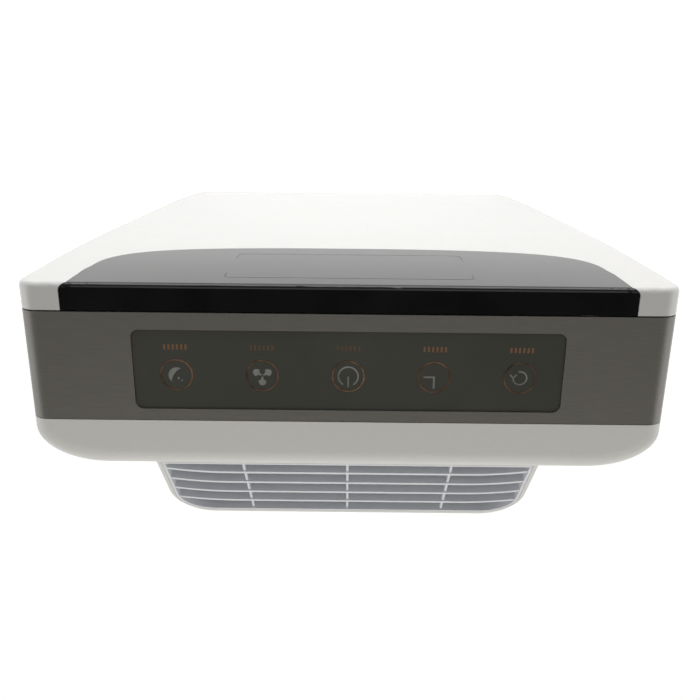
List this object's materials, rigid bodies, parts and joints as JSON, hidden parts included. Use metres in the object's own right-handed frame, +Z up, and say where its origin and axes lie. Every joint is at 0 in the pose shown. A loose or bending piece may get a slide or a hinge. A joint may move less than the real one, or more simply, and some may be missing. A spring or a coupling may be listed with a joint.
{
  "type": "air purifier",
  "caption": "Upright box air purifier with a pull-off front cover over stacked filters, touch controls on top and a rear fan bump that blows out through a sloping grille.",
  "frame": {"origin": "on the floor under the middle of the whole object's box", "axes": "+Z up, -Y out of the front cover, +Y out of the rear fan bump, +X to the right as seen from the front looking along +Y"},
  "size_m": [0.4, 0.19, 0.6],
  "materials": {
    "gloss_white": "glossy moulded white plastic",
    "grey_metallic": "satin grey metallic lacquer on plastic",
    "black_gloss": "polished black lens",
    "copper_ring": "brushed copper-coloured rings",
    "chamber_plastic": "fine-textured light grey moulding",
    "black_plastic": "matt black moulding",
    "circuit_board": "green solder mask",
    "spring_steel": "bright steel",
    "contact_brass": "plain brass pins",
    "motor_steel": "grey coated steel",
    "fan_plastic": "dark grey moulding",
    "filter_frame": "off-white moulding",
    "prefilter_net": "dark nylon net",
    "filter_paper": "pleated white filter paper",
    "filter_foam": "grey foam strip",
    "filter_tab": "white woven pull tape",
    "carbon": "charcoal granules behind a net",
    "foot_rubber": "matt rubber"
  },
  "bodies": {
    "body": {"base_plate": "chamber_plastic", "body_magnets": "spring_steel", "buzzer": "black_plastic", "control_lens": "black_gloss", "control_shelf": "chamber_plastic", "display_board": "circuit_board", "display_bracket": "chamber_plastic", "display_mask": "black_plastic", "dust_sensor": "black_plastic", "fan_guard": "chamber_plastic", "filter_chamber": "chamber_plastic", "foot_front_left": "foot_rubber", "foot_front_right": "foot_rubber", "foot_rear_left": "foot_rubber", "foot_rear_right": "foot_rubber", "front_bearing": "spring_steel", "grip_cup_left": "grey_metallic", "grip_cup_right": "grey_metallic", "inlet_pins": "contact_brass", "inlet_ring": "chamber_plastic", "interlock_switch": "black_plastic", "main_board": "circuit_board", "mid_frame": "grey_metallic", "motor_body": "motor_steel", "motor_screws": "spring_steel", "motor_stator": "motor_steel", "outlet_grille": "gloss_white", "power_inlet": "black_plastic", "power_supply": "circuit_board", "rear_bearing": "spring_steel", "rear_cover": "gloss_white", "rear_cover_screws": "spring_steel", "rear_housing": "gloss_white", "scroll_housing": "chamber_plastic", "scroll_screws": "spring_steel", "touch_board": "circuit_board", "touch_rings": "copper_ring", "touch_springs": "spring_steel"},
    "cover": {"front_cover": "gloss_white", "display_lens": "black_gloss", "cover_magnets": "spring_steel"},
    "prefilter": {"prefilter_frame": "filter_frame", "prefilter_net": "prefilter_net"},
    "hepa_filter": {"hepa_frame": "filter_frame", "hepa_pleats": "filter_paper", "hepa_seal": "filter_foam", "hepa_tabs": "filter_tab"},
    "carbon_filter": {"carbon_frame": "filter_frame", "carbon_core": "carbon"},
    "fan": {"impeller": "fan_plastic", "fan_shaft": "spring_steel", "shaft_nut": "spring_steel", "motor_rotor": "motor_steel"},
    "plunger": {"interlock_plunger": "black_plastic"},
    "door": {"sensor_door": "grey_metallic"}
  },
  "joints": [
    {"name": "cover_pull", "type": "slide", "parent": "body", "child": "cover", "axis": [0, -1, 0], "range_m": [0, 0.4]},
    {"name": "prefilter_slide", "type": "slide", "parent": "body", "child": "prefilter", "axis": [0, -1, 0], "range_m": [0, 0.31]},
    {"name": "hepa_slide", "type": "slide", "parent": "body", "child": "hepa_filter", "axis": [0, -1, 0], "range_m": [0, 0.21]},
    {"name": "carbon_slide", "type": "slide", "parent": "body", "child": "carbon_filter", "axis": [0, -1, 0], "range_m": [0, 0.11]},
    {"name": "interlock_press", "type": "slide", "parent": "body", "child": "plunger", "axis": [0, -1, 0], "range_m": [0, 0.0032]},
    {"name": "fan_spin", "type": "hinge", "parent": "body", "child": "fan", "pos_m": [0, 0.04, 0.285], "axis": [0, 1, 0], "continuous": true},
    {"name": "sensor_door_hinge", "type": "hinge", "parent": "body", "child": "door", "pos_m": [0.1966, -0.0377, 0.4734], "axis": [0, 1, 0], "range_deg": [0, 80]}
  ],
  "couplings": [
    {"joint": "prefilter_slide", "follows": "cover_pull", "ratio": 0.75},
    {"joint": "hepa_slide", "follows": "cover_pull", "ratio": 0.5},
    {"joint": "carbon_slide", "follows": "cover_pull", "ratio": 0.25},
    {"joint": "interlock_press", "follows": "cover_pull", "ratio": 0.0075}
  ]
}
